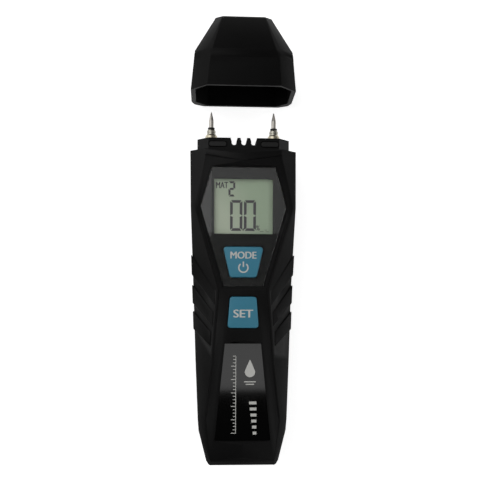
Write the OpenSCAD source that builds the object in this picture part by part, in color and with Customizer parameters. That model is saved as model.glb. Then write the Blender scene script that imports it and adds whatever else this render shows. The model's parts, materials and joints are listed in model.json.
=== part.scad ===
// Pin-type moisture meter with its pin cap pulled off.
// X runs across the meter, +Y runs from its bottom end towards the pins,
// and +Z comes out of the display. The back rests on Z = 0.

/* [Housing] */
// Depth from the back to the ridge of the front
body_d = 28; // [27:0.5:30]
// Distance from the bottom end to the shoulder, along the front
shoulder_y = 142.2; // [141:0.1:144]
// Lean of the shoulder face, so that its front edge is further out than its back edge
shoulder_lean = 4.5; // [3:0.5:6]
// Height of the seam between the two housing halves
seam_z = 14; // [14:0.5:15]
// Thickness of the housing walls
wall = 2; // [1.6:0.1:2.2]
// Slope of the front to each side of its ridge
roof_slope = 4; // [3:0.5:5]
// Slope of the grip panels beside the front
panel_slope = 33; // [30:1:36]
// Height that the grip pads stand proud of the sides
pad_h = 0.55; // [0.3:0.05:0.8]

/* [Neck] */
// Distance from the bottom end to the top of the neck
neck_y = 147; // [146:0.5:148]
// Width of the neck
neck_w = 41.8; // [40:0.2:42]
// Width of the flat front of the neck
neck_flat_w = 31.8; // [30:0.2:32]
// Width of a vent notch at its mouth
vent_w = 2.95; // [2.4:0.05:3.2]
// Distance from one vent notch to the next
vent_pitch = 4.4; // [4.2:0.1:4.8]
// Depth of the vent notches
vent_depth = 3.25; // [2:0.25:3.5]

/* [Cap] */
// Length of the cap, along its front
cap_l = 33.4; // [33:0.2:36]
// Width of the cap's tip
cap_tip_w = 25.7; // [24:0.1:30]
// How far the cap stands off its fitted place
cap_off = 28; // [24:1:60]
// Gap between the cap and the neck
cap_gap = 0.3; // [0.25:0.05:0.4]
// Wall at the front and back of the cap
cap_wall = 1.5; // [1.2:0.1:1.5]

/* [Display] */
// Height of the lens face
lens_z = 26.55; // [26.4:0.05:26.6]
// Thickness of the lens
lens_t = 1; // [0.8:0.1:1]
// Width of the visible display
lcd_w = 26.4; // [24:0.2:27]
// Lowest edge of the visible display, from the bottom end
lcd_y = 103.9; // [102:0.1:105]
// Height of the visible display
lcd_h = 24.65; // [23:0.05:25]

/* [Buttons] */
// Rounding of the buttons' corners
button_r = 1.3; // [0.8:0.1:2]
// Gap round each button
button_gap = 0.25; // [0.2:0.05:0.35]
// Travel of each button
button_travel = 0.8; // [0.4:0.1:0.8]

/* [Pins] */
// Distance between the two measuring pins
pin_spacing = 29.2; // [28:0.2:30]
// Distance from the bottom end to the tips of the pins
pin_tip_y = 161.4; // [160:0.2:163]
// Diameter of a pin's shaft
pin_d = 2.2; // [1.8:0.1:2.4]
// Diameter of the collar that grips a pin
collar_d = 4.1; // [3.8:0.1:4.4]
// Diameter of the base under the collar
base_d = 5.5; // [5:0.1:5.8]

/* [Batteries] */
// Diameter of a cell
cell_d = 10.5; // [10.3:0.1:10.5]
// Length of a cell with its nub
cell_l = 44.5; // [44:0.5:44.5]
// Width of the battery door
door_w = 24; // [23.6:0.2:24]
// Length of the battery door
door_l = 60.6; // [60.2:0.1:61]

/* [Hidden] */

$fn = 48;
over = 1;          // how far a cutter runs past what it cuts
far = 40;          // half size of a block that covers the whole section
rise = tan(roof_slope);
fall = tan(panel_slope);
lean = tan(shoulder_lean);
total_l = shoulder_y + cap_off + cap_l;
pin_x = pin_spacing / 2;

// Outline of the housing: distance from the bottom end, half width, and half width of
// the crease where the front turns down into the grip panels
STATIONS = [
    [0, 14.4, 12.4], [0.5, 15.2, 13.2], [2, 16.2, 14.2], [15.5, 19.7, 16.6],
    [20.7, 20.1, 17.1], [47.4, 21.3, 14], [78.8, 22.4, 11.6], [115.9, 23.7, 22.3],
    [139, 24.05, 17], [shoulder_y, 24.1, 16.8]
];
shoulder_half = STATIONS[len(STATIONS) - 1][1];

// Lens outline from its bottom corner up, one side
LENS_SIDE = [[8.85, 80.5], [19.2, 115.9], [14.2, 133.9]];
// Name plate outline, one side
PLATE_SIDE = [[12.45, 11.4], [8.1, 54.7]];
plate_z = 27;
plate_t = 0.4;
MODE_SIDE = [[5.9, 84.4], [9.05, 98.05]];
SET_SIDE = [[6.95, 61.8], [5.9, 75.7]];
mode_top_z = lens_z + 0.75;
set_top_z = body_d + 0.25;
ledge_t = 1.2;     // ledge under the lens
mask_t = 0.2;
ledge_z = lens_z - lens_t - mask_t - ledge_t;

// Steps beside the lens, one side each: [half width, distance from the bottom end]
STEP_OUTER = [[16.3, 20.7], [13.2, 47.4], [10.8, 78.8], [15.1, 93.5], [20.2, 111.5], [19.5, 114]];
STEP_INNER = [[9.6, 79.9], [12.9, 91.3], [16.7, 102.9], [19.3, 112], [18.6, 114]];
step_h = 0.35;

// Grip pads, one side: each is a slanted band across the grip panel
PADS = [
    [[25.5, 97.8], [12.8, 78.1], [12.8, 72.0], [25.5, 88.7]],
    [[25.5, 84.1], [13.5, 68.8], [13.5, 62.2], [25.5, 75.9]],
    [[25.5, 72.0], [14.5, 60.0], [14.5, 53.4], [25.5, 64.0]]
];

NECK_DROP = 1.8;   // how far the neck's front and back lie inside the housing's
neck_half = neck_w / 2;
neck_flat = neck_flat_w / 2;
neck_top_z = body_d - NECK_DROP;
neck_bevel_z = 21.3;
neck_low_z = 6.2;
detent_x = 11.7;
detent_y = 144.2;

board_z = 15.6;
board_t = 1.6;
board_top = board_z + board_t;
switch_h = 3.4;
pad_top = 21.8;
beeper_y = 48;

tray_y0 = 7.8;
tray_y1 = 58.4;
tray_top = 13.8;
cell_x = 5.45;
cell_z = 7.4;
plate_thick = 0.4;
rail = 0.7;        // how far the battery door's tongues reach into the housing
door_t = 1.6;
slide_gap = 0.2;

HOUSING_SCREWS = [[-7, 136], [7, 136], [-15.9, 33], [15.9, 33]];
BOARD_SCREWS = [[-13.2, 84], [13.2, 84], [0, 17]];
screw_r = 1.2;
screw_gap = 0.05;
screw_head_r = 2.2;
boss_r = 3.2;

// ---- helpers ----------------------------------------------------------------

module place() {
    translate([0, -total_l / 2, 0]) children();
}

function flip(p) = [-p[0], p[1]];
// Closed outline from one side's points, bottom to top
function both_sides(side) = concat(side, [for (i = [len(side) - 1:-1:0]) flip(side[i])]);
function unit(v) = v / norm(v);
function grown(side, d) = [for (i = [0:len(side) - 1])
    side[i] + [d, i == 0 ? -d : i == len(side) - 1 ? d : 0]];

// Outline with each corner turned into an arc of radius r
function rounded(points, r, steps = 6) = [
    for (i = [0:len(points) - 1])
        let (n = len(points), p = points[i],
             u = unit(points[(i + n - 1) % n] - p), v = unit(points[(i + 1) % n] - p),
             half = acos(u * v) / 2, c = p + unit(u + v) * r / sin(half),
             a = p + u * r / tan(half) - c, b = p + v * r / tan(half) - c,
             a0 = atan2(a[1], a[0]), turn = (atan2(b[1], b[0]) - a0 + 540) % 360 - 180)
        for (s = [0:steps])
            c + r * [cos(a0 + turn * s / steps), sin(a0 + turn * s / steps)]
];

// Solid between a row of rings that all have the same number of points
module skin(rings) {
    n = len(rings[0]);
    m = len(rings);
    sides = [for (i = [0:m - 2], j = [0:n - 1])
        let (k = (j + 1) % n, a = i * n + j, b = i * n + k, c = a + n, d = b + n)
        each (j < n / 2 ? [[a, c, b], [b, c, d]] : [[a, d, b], [a, c, d]])];
    ends = [[for (j = [0:n - 1]) j], [for (j = [n - 1:-1:0]) (m - 1) * n + j]];
    polyhedron([for (r = rings) each r], concat(sides, ends));
}

// Ring in the XZ plane at y from the points of its right half, front to back
function ring(y, half, slant = 0) =
    let (all = concat(half, [for (i = [len(half) - 1:-1:0]) if (half[i][0] > 0) flip(half[i])]))
    [for (p = all) [p[0], y + (p[1] - body_d) * slant, p[1]]];

function roof_z(x) = body_d - rise * abs(x);

// Right half of the housing's section, inset by t, with its sides moved out by bulge
function body_half(w, c, t = 0, bulge = 0) =
    let (zc = roof_z(c), ze = zc - (w - c) * fall)
    [[0, body_d - t], [c - 0.3 * t, zc - t], [w - t + bulge, ze - 0.6 * t + bulge / 2],
     [w - t + bulge, seam_z], [w - 0.3 - t + bulge, 6], [w - 1.7 - 0.8 * t + bulge / 2, 2.4 + 0.5 * t],
     [w - 6 - 0.3 * t, t]];

module body_block(t = 0, bulge = 0) {
    last = len(STATIONS) - 1;
    slanted = body_d * lean;
    skin([for (i = [0:last]) let (s = STATIONS[i])
        if (i == 0 || i == last || (s[0] > t && s[0] < shoulder_y - slanted - t))
        ring(i == 0 ? s[0] + t : i == last ? s[0] - t : s[0],
             body_half(s[1], s[2], t, bulge), i == last ? lean : 0)]);
}

// Everything under the front's roof shape, lowered by the drops given as [y, drop]
module under_roof(drops) {
    skin([for (d = drops) ring(d[0], [[0, body_d - d[1]], [far, roof_z(far) - d[1]], [far, 0]])]);
}

// Wedge above a slope that rises in Y from (y0, z0), steepness s per mm
module above_slope(y0, z0, s, reach) {
    rotate([90, 0, 90]) translate([0, 0, -far]) linear_extrude(2 * far)
        polygon([[y0, z0], [y0 + reach, z0 + reach * s], [y0 + reach, 60], [y0, 60]]);
}

module upright(outline, z0, z1) {
    translate([0, 0, z0]) linear_extrude(z1 - z0) polygon(outline);
}

module above_seam() { translate([-far, -over, seam_z]) cube([2 * far, 160, far]); }
module below_seam() { translate([-far, -over, seam_z - far]) cube([2 * far, 160, far]); }

// Cylinder that lies along Y
module along_y(r, y0, y1, r2 = undef) {
    translate([0, y0, 0]) rotate([-90, 0, 0]) cylinder(h = y1 - y0, r1 = r, r2 = r2 == undef ? r : r2);
}

// ---- housing ----------------------------------------------------------------

module neck_outline(grow = 0, side_grow = 0) {
    half = [[neck_flat + 0.4 * grow, neck_top_z + grow],
            [neck_half + side_grow, neck_bevel_z + grow / 3], [neck_half + side_grow, neck_low_z - grow / 3],
            [neck_flat + 0.4 * grow, NECK_DROP - grow]];
    polygon(concat(half, [for (i = [3:-1:0]) flip(half[i])]));
}

module neck_bar(y0, y1, grow = 0, side_grow = 0) {
    translate([0, y1, 0]) rotate([90, 0, 0]) linear_extrude(y1 - y0) neck_outline(grow, side_grow);
}

// Raised lozenge that a slot inside the cap snaps over, on the neck's front and back
module detents(h) {
    for (x = [-detent_x, detent_x], back = [false, true])
        translate([x, detent_y, back ? NECK_DROP - h : neck_top_z - over])
            linear_extrude(over + h) polygon(rounded([[-3.85, -1.05], [3.85, -1.05], [3.85, 1.05], [-3.85, 1.05]], 0.9));
}

// Groove that outlines each lozenge
module detent_grooves() {
    for (x = [-detent_x, detent_x])
        translate([x, detent_y, neck_top_z - 0.25]) linear_extrude(over) difference() {
            polygon(rounded([[-4.15, -1.35], [4.15, -1.35], [4.15, 1.35], [-4.15, 1.35]], 1.1));
            polygon(rounded([[-3.85, -1.05], [3.85, -1.05], [3.85, 1.05], [-3.85, 1.05]], 0.9));
        }
}

module vent_notches() {
    slot = 1.08;
    low = neck_y - vent_depth + slot;
    for (i = [-1:1]) translate([i * vent_pitch, 0, -over]) linear_extrude(body_d + 2 * over) {
        polygon([[-slot, low], [slot, low], [slot, neck_y - 1.5], [vent_w / 2, neck_y - 0.4],
                 [vent_w / 2, neck_y + over], [-vent_w / 2, neck_y + over], [-vent_w / 2, neck_y - 0.4],
                 [-slot, neck_y - 1.5]]);
        translate([0, low]) circle(slot, $fn = 32);
    }
}

// Solid outer shape of the whole housing, neck and grip pads included
module housing_solid() {
    difference() {
        union() {
            body_block();
            intersection() {
                body_block(0, pad_h);
                for (side = [1, -1], pad = PADS)
                    upright([for (p = pad) [side * p[0], p[1]]], 7, body_d);
            }
        }
        // bevel at the shoulder and at the bottom end, front and back
        mirror([0, 1, 0]) translate([0, -2 * 139.8 - 5, 0]) above_slope(139.8, body_d - 5 * 0.73, 0.73, 5);
        above_slope(-over, body_d - 5 * 0.55, 0.55, 5);
        mirror([0, 0, 1]) above_slope(-over, -4.5, 1, 4);
    }
    neck_bar(shoulder_y - 6, neck_y);
    detents(0.2);
}

// Room inside the housing
module housing_room() {
    body_block(wall);
    difference() {
        neck_bar(shoulder_y - 8, neck_y - 2, -wall, -wall);
        translate([-8.4, shoulder_y - 1, 0]) cube([16.8, 10, body_d]);
    }
}

module pin_passages() {
    for (x = [-pin_x, pin_x]) translate([x, 0, seam_z]) along_y(2.35, neck_y - 3, neck_y + over);
}

// Button outlines with their clearance, and the skirts that keep the buttons in
module button_hole(side, z0) {
    upright(rounded(both_sides(grown(side, button_gap)), button_r + button_gap), z0, body_d + over);
}

// Triangle between the straight end of a sunk plate and the ridge
module end_facet(half, y, apex_y, z) {
    s = (body_d - z) / abs(apex_y - y);
    intersection() {
        upright([[-half, y], [half, y], [0, apex_y]], z - over, body_d + over);
        if (apex_y > y) above_slope(y - 0.01, z, s, 6);
        else translate([0, 2 * y, 0]) mirror([0, 1, 0]) above_slope(y - 0.01, z, s, 6);
    }
}

module chevron_grooves() {
    for (side = [1, -1])
        difference() {
            upright([[side * 17.4, 139.3], [side * 17.3, 138.7], [side * 1.5, 136.65], [side * 1.5, 136.9]],
                    body_d - 3, body_d + over);
            under_roof([[130, 0.4], [142, 0.4]]);
        }
}

module front_housing() {
    color([0.09, 0.09, 0.09]) place() difference() {
        intersection() { housing_solid(); above_seam(); }
        difference() {
            housing_room();
            // lens ledge, plate floor, button guides and screw bosses stay solid
            upright(both_sides(grown(LENS_SIDE, 1.6)), ledge_z, body_d);
            upright(both_sides(grown(PLATE_SIDE, 1)), plate_z - plate_t - 1.2, body_d);
            for (p = HOUSING_SCREWS) translate([p[0], p[1], seam_z - over]) cylinder(h = body_d, r = boss_r);
            for (p = BOARD_SCREWS) translate([p[0], p[1], board_top]) cylinder(h = body_d, r = 2);
        }
        difference() {
            upright(both_sides(STEP_OUTER), 20, body_d + over);
            under_roof([[20.7, 0], [80, step_h], [100, step_h], [114, 0]]);
        }
        difference() {
            upright(both_sides(STEP_INNER), 20, body_d + over);
            under_roof([[70, 2 * step_h], [100, 2 * step_h], [114, 0]]);
        }
        upright(both_sides(grown(LENS_SIDE, 0.15)), ledge_z + ledge_t, body_d + over);
        end_facet(14.2, 133.9, 136.65, lens_z);
        translate([-lcd_w / 2 - 0.4, lcd_y - 0.4, 20]) cube([lcd_w + 0.8, lcd_h + 0.8, 10]);
        button_hole(MODE_SIDE, 20);
        button_hole(SET_SIDE, 20);
        upright(both_sides(grown(PLATE_SIDE, 0.1)), plate_z - plate_t, body_d + over);
        end_facet(8.1, 54.7, 56.55, plate_z);
        end_facet(12.45, 11.4, 9.9, plate_z);
        chevron_grooves();
        detent_grooves();
        vent_notches();
        pin_passages();
        for (p = HOUSING_SCREWS) translate([p[0], p[1], seam_z - over]) cylinder(h = 9, r = screw_r + screw_gap);
        for (p = BOARD_SCREWS) translate([p[0], p[1], board_top - over]) cylinder(h = 5.4, r = 0.95 + screw_gap);
    }
}

module rear_housing() {
    color([0.08, 0.08, 0.08]) place() difference() {
        intersection() { housing_solid(); below_seam(); }
        difference() {
            housing_room();
            translate([-13.2, tray_y0 - 2, 0]) cube([26.4, tray_y1 - tray_y0 + 4, tray_top]);
            translate([-14.4, 0, 0]) cube([28.8, tray_y0, 3.6]);
            for (p = HOUSING_SCREWS) translate([p[0], p[1], 0]) cylinder(h = seam_z, r = boss_r);
        }
        translate([-cell_x * 2 - 0.1, tray_y0, -over]) cube([cell_x * 4 + 0.2, tray_y1 - tray_y0, tray_top - 1 + over]);
        // recess and grooves that the battery door slides in
        translate([-door_w / 2 - slide_gap, -over, -over]) cube([door_w + 2 * slide_gap, door_l + slide_gap + over, door_t + slide_gap + over]);
        translate([-door_w / 2 - rail - slide_gap, -over, 0.6 - slide_gap]) cube([door_w + 2 * rail + 2 * slide_gap, door_l + slide_gap + over, door_t - 0.6 + 2 * slide_gap]);
        vent_notches();
        pin_passages();
        for (p = HOUSING_SCREWS) translate([p[0], p[1], -over]) {
            cylinder(h = 20, r = screw_r + 0.2);
            cylinder(h = over + 3.2, r = screw_head_r + 0.3);
        }
    }
}

module battery_door() {
    color([0.1, 0.1, 0.1]) place() difference() {
        intersection() {
            housing_solid();
            union() {
                translate([-door_w / 2, -over, 0]) cube([door_w, door_l + over, door_t]);
                translate([-door_w / 2 - rail, -over, 0.6]) cube([door_w + 2 * rail, door_l + over, door_t - 0.6]);
            }
        }
        // thumb grip ridges
        for (i = [0:4]) translate([-6, 44 + 2 * i, -over]) cube([12, 0.9, over + 0.4]);
    }
}

// ---- front pieces -----------------------------------------------------------

module display_lens() {
    color([0.2, 0.22, 0.22, 0.5]) place() difference() {
        upright(both_sides(LENS_SIDE), lens_z - lens_t, lens_z);
        button_hole(MODE_SIDE, 20);
    }
}

module lens_mask() {
    color([0.02, 0.02, 0.02]) place() difference() {
        upright(both_sides(LENS_SIDE), lens_z - lens_t - mask_t, lens_z - lens_t);
        translate([-lcd_w / 2, lcd_y, 20]) cube([lcd_w, lcd_h, 10]);
        button_hole(MODE_SIDE, 20);
    }
}

module lcd_glass() {
    color([0.62, 0.66, 0.6]) place()
        translate([-15.6, lcd_y - 2.2, ledge_z - 2]) cube([31.2, lcd_h + 4.4, 1.9]);
}

module lcd_frame() {
    color([0.85, 0.85, 0.82]) place() difference() {
        translate([-16.8, lcd_y - 3.4, board_top]) cube([33.6, lcd_h + 6.8, ledge_z - 0.9 - board_top]);
        translate([-15.7, lcd_y - 2.3, ledge_z - 2.05]) cube([31.4, lcd_h + 4.6, 5]);
        translate([-13.5, lcd_y - 1.7, board_top - over]) cube([27, lcd_h + 3.4, 10]);
    }
}

// Rubber strip that joins the glass to the board
module contact_strip(y) {
    color([0.75, 0.35, 0.5]) place()
        translate([-13.2, y, board_top]) cube([26.4, 1.4, ledge_z - 2 - board_top]);
}

module button(side, top) {
    color([0.2, 0.52, 0.63]) place() {
        outline = rounded(both_sides(side), button_r);
        upright(outline, top - 5, top);
        upright(rounded(both_sides(grown(side, 0.8)), button_r), ledge_z - 1.5, ledge_z - 0.15);
        translate([0, (side[0][1] + side[1][1]) / 2, pad_top]) cylinder(h = ledge_z - 1.2 - pad_top, r = 3);
    }
}

function middle(side) = (side[0][1] + side[1][1]) / 2;

module return_pad(side) {
    color([0.75, 0.75, 0.75]) place() translate([0, middle(side), board_top + switch_h - 0.6]) difference() {
        cylinder(h = pad_top - board_top - switch_h + 0.6, r1 = 2.9, r2 = 2.3);
        translate([0, 0, -over]) cylinder(h = 6, r = 1.8);
    }
}

module key_switch(side) {
    color([0.15, 0.15, 0.16]) place() translate([0, middle(side), board_top]) {
        translate([-3, -3, 0]) cube([6, 6, switch_h - 0.6]);
        cylinder(h = switch_h + 0.35, r = 1.6);
    }
}

module name_plate() {
    color([0.03, 0.03, 0.03]) place() upright(both_sides(PLATE_SIDE), plate_z - plate_t, plate_z);
}

// ---- cap --------------------------------------------------------------------

// Right half of the cap's section: flat front to c1, facet to c2, panel to the side
function cap_half(c1, c2, zf, z2, w, ze, zb, flat) =
    [[c1, zf], [c2, z2], [w, ze], [w, zb + 6], [w - 1.6, zb + 2.2], [flat, zb]];

module cap_block() {
    tip = cap_tip_w / 2;
    skin([
        ring(0, cap_half(16.3, 16.8, body_d, body_d - 0.1, shoulder_half, 21.4, 0, shoulder_half - 6), lean),
        ring(12.6, cap_half(15.3, 16.4, 27.7, 27, 22.7, 22.9, 0, 16.9)),
        ring(14.6, cap_half(14.8, 17.1, 27.6, 26.2, 22.5, 23.1, 0, 16.7)),
        ring(16.6, cap_half(14.3, 16.5, 27.3, 26, 22.3, 23, 0, 16.5)),
        ring(cap_l - 1, cap_half(9.9, 10.2, 22, 21.8, tip + 0.6, 19.2, 5, 8.6)),
        ring(cap_l, cap_half(9.4, 9.6, 21.2, 21.1, tip, 18.9, 5.6, 8.2))
    ]);
}

module cap_room() {
    roomy = shoulder_half - 2.1;
    skin([
        ring(-over, [[16.6, neck_top_z + cap_gap], [roomy, 21.6], [roomy, 5.8], [16.6, cap_wall]], lean),
        ring(8, [[16.2, neck_top_z + cap_gap - 0.3], [roomy - 0.6, 21.6], [roomy - 0.6, 5.8], [16.2, cap_wall]]),
        ring(16.6, [[14.6, 25.2], [20.2, 21.3], [20.2, 5.8], [14.8, 1.8]]),
        ring(cap_l - 2, [[8.6, 19.4], [11.4, 17.4], [11.4, 8.8], [7.6, 7.2]])
    ]);
}

// The cap at its fitted place against the shoulder
module cap_fitted() {
    difference() {
        translate([0, shoulder_y, 0]) cap_block();
        translate([0, shoulder_y, 0]) cap_room();
        for (x = [-detent_x, detent_x], z = [cap_wall - 0.45, neck_top_z + cap_gap - over])
            translate([x - 4.2, detent_y - 1.3, z]) cube([8.4, 2.6, over + 0.45]);
    }
}

module cap() {
    color([0.07, 0.07, 0.07]) place() translate([0, cap_off, 0]) cap_fitted();
}

// ---- pins -------------------------------------------------------------------

base_top = 150.7;
collar_top = 153.5;
shaft_y = 154.1;
cone_y = 157.55;
holder_y = 132.8;

module at_pin(side) {
    place() translate([side * pin_x, 0, seam_z]) children();
}

module needle(side) {
    color([0.62, 0.61, 0.57]) at_pin(side) {
        along_y(0.85, base_top - 6, shaft_y);
        along_y(pin_d / 2, shaft_y, cone_y);
        along_y(pin_d / 2, cone_y, pin_tip_y, 0.22);
    }
}

module collar(side) {
    color([0.7, 0.68, 0.6]) at_pin(side) difference() {
        union() {
            along_y(collar_d / 2, base_top, collar_top - 0.6);
            along_y(collar_d / 2, collar_top - 0.6, collar_top, collar_d / 2 - 0.7);
        }
        along_y(0.9, base_top - over, collar_top + over);
    }
}

module pin_base(side) {
    color([0.72, 0.63, 0.4]) at_pin(side) difference() {
        union() {
            along_y(2.2, holder_y, neck_y);
            along_y(base_d / 2, neck_y, base_top - 0.5);
            along_y(base_d / 2, base_top - 0.5, base_top, base_d / 2 - 0.4);
        }
        along_y(0.9, base_top - 7, base_top + over);
    }
}

module pin_ring(side) {
    color([0.05, 0.05, 0.05]) at_pin(side) difference() {
        along_y(1.6, collar_top, shaft_y);
        along_y(0.88, collar_top - over, shaft_y + over);
    }
}

// Sprung strap from the inner end of a pin base to the board
module pin_strap(side) {
    color([0.75, 0.68, 0.45]) place() translate([side * pin_x - 1.5, 0, 0])
        rotate([90, 0, 90]) linear_extrude(3)
            polygon([[holder_y, 12.6], [holder_y, 15.4], [holder_y - 0.4, 15.4], [holder_y - 0.4, 13],
                     [129, 13], [126.6, board_z], [122.5, board_z], [122.5, board_z - 0.4],
                     [126.3, board_z - 0.4], [128.8, 12.6]]);
}

module pin_carrier() {
    color([0.25, 0.25, 0.25]) place() difference() {
        translate([-18.4, 139.4, 8]) cube([36.8, 1.6, 12]);
        for (x = [-pin_x, pin_x]) translate([x, 0, seam_z]) along_y(2.25, 135, 145);
    }
}

// ---- inside -----------------------------------------------------------------

module main_board() {
    color([0.1, 0.35, 0.2]) place() difference() {
        upright(both_sides([[12, 12], [13, 40], [16.5, 62], [17, 132.4]]), board_z, board_top);
        for (p = BOARD_SCREWS) translate([p[0], p[1], board_z - over]) cylinder(h = 5, r = 1.3);
        for (p = HOUSING_SCREWS) translate([p[0], p[1], board_z - over]) cylinder(h = 5, r = boss_r + 0.3);
    }
}

module controller_chip() {
    color([0.1, 0.1, 0.11]) place() translate([-5, 110, board_z - 1.4]) cube([10, 10, 1.4]);
}

module signal_amplifier() {
    color([0.1, 0.1, 0.11]) place() translate([6, 122, board_z - 1.5]) cube([4, 5, 1.5]);
}

module crystal() {
    color("silver") place() translate([9, 112, board_z - 1.6]) rotate([-90, 0, 0]) cylinder(h = 6, r = 1.5);
}

module beeper() {
    color([0.08, 0.08, 0.08]) place() translate([0, beeper_y, board_top]) difference() {
        cylinder(h = 4.5, r = 5.5);
        translate([0, 0, 3]) cylinder(h = 5, r = 1.2);
    }
}

module temperature_sensor() {
    color([0.1, 0.1, 0.1]) place() {
        translate([0, 137.6, board_top - 0.8]) sphere(r = 1.3, $fn = 24);
        for (x = [-0.6, 0.6]) translate([x, 0, board_top - 0.8]) along_y(0.22, 133, 137);
    }
}

module chip_resistors() {
    color([0.15, 0.15, 0.16]) place() for (i = [0:4], j = [0:1])
        translate([-11 + 3 * i, 90 + 5 * j, board_z - 0.6]) cube([1.6, 0.8, 0.6]);
}

module cell(x, up) {
    color([0.75, 0.6, 0.2]) place()
        translate([x, up ? 12.6 : 53.6, cell_z]) rotate([up ? 0 : 180, 0, 0]) {
            along_y(cell_d / 2, 0, cell_l - 0.9);
            along_y(1.9, cell_l - 0.9, cell_l);
        }
}

// Conical coil spring along Y, wound from the plate to the cell
module cell_spring(x, y, dir) {
    turns = 3.5;
    per_turn = 14;
    wire = 0.3;
    sides = 6;
    steps = turns * per_turn;
    length = 3.6;
    color("silver") place() translate([x, y, cell_z]) scale([1, dir, 1])
        skin([for (i = [0:steps]) let (f = i / steps, a = 360 * turns * f, r = 3.6 - 1.4 * f)
            [for (k = [0:sides - 1]) let (b = 360 * k / sides)
                [(r + wire * cos(b)) * cos(a), wire + length * f + wire * sin(b), (r + wire * cos(b)) * sin(a)]]]);
}

module cell_plate(x, w, y) {
    color("silver") place() translate([x - w / 2, y, 3]) cube([w, plate_thick, 8.8]);
}

module housing_screws() {
    color("silver") place() for (p = HOUSING_SCREWS) translate([p[0], p[1], 1]) {
        difference() {
            cylinder(h = 2.2, r = screw_head_r);
            for (a = [0, 90]) rotate(a) translate([-1.3, -0.25, -over]) cube([2.6, 0.5, over + 0.8]);
        }
        cylinder(h = 19, r = screw_r);
    }
}

module board_screws() {
    color("silver") place() for (p = BOARD_SCREWS) translate([p[0], p[1], board_z - 1.2]) {
        cylinder(h = 1.2, r = 1.8);
        cylinder(h = 6.4, r = 0.95);
    }
}

// ---- what each node shows ---------------------------------------------------

front_housing();
rear_housing();
battery_door();
display_lens();
lens_mask();
lcd_glass();
lcd_frame();
contact_strip(lcd_y + lcd_h + 0.1);  // upper_contact_strip
contact_strip(lcd_y - 1.5);  // lower_contact_strip
button(MODE_SIDE, mode_top_z);  // mode_button
button(SET_SIDE, set_top_z);  // set_button
return_pad(MODE_SIDE);  // mode_return_pad
return_pad(SET_SIDE);  // set_return_pad
key_switch(MODE_SIDE);  // mode_switch
key_switch(SET_SIDE);  // set_switch
name_plate();
cap();
pin_carrier();
needle(-1);  // left_needle
needle(1);  // right_needle
collar(-1);  // left_collar
collar(1);  // right_collar
pin_base(-1);  // left_pin_base
pin_base(1);  // right_pin_base
pin_ring(-1);  // left_pin_ring
pin_ring(1);  // right_pin_ring
pin_strap(-1);  // left_pin_strap
pin_strap(1);  // right_pin_strap
main_board();
controller_chip();
signal_amplifier();
crystal();
beeper();
temperature_sensor();
chip_resistors();
cell(-cell_x, true);  // left_cell
cell(cell_x, false);  // right_cell
cell_spring(-cell_x, tray_y0 + plate_thick, 1);  // left_cell_spring
cell_spring(cell_x, tray_y1 - plate_thick, -1);  // right_cell_spring
cell_plate(0, 20, tray_y1 - plate_thick);  // upper_cell_plate
cell_plate(-cell_x, 9, tray_y0);  // left_cell_plate
cell_plate(cell_x, 9, tray_y0);  // right_cell_plate
housing_screws();
board_screws();
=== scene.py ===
"""Looks of a two-pin moisture meter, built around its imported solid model."""

from __future__ import annotations

import json
import logging
import math
from dataclasses import dataclass
from enum import Enum
from typing import Callable, Iterable, Sequence

import bmesh
import bpy
from mathutils import Matrix, Vector

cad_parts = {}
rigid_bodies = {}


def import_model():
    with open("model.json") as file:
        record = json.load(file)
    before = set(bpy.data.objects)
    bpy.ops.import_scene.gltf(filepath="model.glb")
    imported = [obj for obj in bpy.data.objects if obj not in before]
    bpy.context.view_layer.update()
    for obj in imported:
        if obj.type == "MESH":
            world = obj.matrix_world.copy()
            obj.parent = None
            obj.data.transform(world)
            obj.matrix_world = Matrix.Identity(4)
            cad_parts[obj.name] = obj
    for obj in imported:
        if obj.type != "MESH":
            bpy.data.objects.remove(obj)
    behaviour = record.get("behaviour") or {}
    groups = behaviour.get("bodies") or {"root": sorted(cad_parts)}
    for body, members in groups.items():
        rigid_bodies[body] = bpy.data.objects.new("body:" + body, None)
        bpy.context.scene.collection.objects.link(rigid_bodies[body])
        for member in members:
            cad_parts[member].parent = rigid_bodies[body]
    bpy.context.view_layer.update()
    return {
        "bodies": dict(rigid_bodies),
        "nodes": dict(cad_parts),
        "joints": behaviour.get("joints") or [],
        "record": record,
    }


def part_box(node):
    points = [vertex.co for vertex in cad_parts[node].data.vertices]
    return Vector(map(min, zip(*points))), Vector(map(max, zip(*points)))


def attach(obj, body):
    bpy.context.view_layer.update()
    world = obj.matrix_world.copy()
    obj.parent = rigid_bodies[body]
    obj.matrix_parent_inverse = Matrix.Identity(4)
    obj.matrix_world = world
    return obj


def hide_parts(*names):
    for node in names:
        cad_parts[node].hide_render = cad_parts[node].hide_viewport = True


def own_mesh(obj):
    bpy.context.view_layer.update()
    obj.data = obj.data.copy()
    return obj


LOG = logging.getLogger("moisture_meter")
MM = 0.001
# Distance from the bottom end of the meter to the middle of its whole length
BOTTOM_TO_MIDDLE = 101.8
# Corners nearer than this become one, in metres; the second is for lettering
MERGE = 1e-6
LETTER_MERGE = 1e-5
# How far print stands above the display glass, in millimetres
INK_LIFT = 0.05

Colour = tuple[float, float, float]
Point = tuple[float, float]
Socket = bpy.types.NodeSocket
# Height and mask that a surface effect puts out
Marks = tuple[Socket, Socket]


def grey(level: float) -> Colour:
    """Linear grey."""
    return (level, level, level)


def srgb(red: float, green: float, blue: float) -> Colour:
    """Linear colour of display levels from 0 to 255."""
    levels = (red / 255, green / 255, blue / 255)
    return tuple(c / 12.92 if c <= 0.04045 else ((c + 0.055) / 1.055) ** 2.4 for c in levels)


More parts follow.
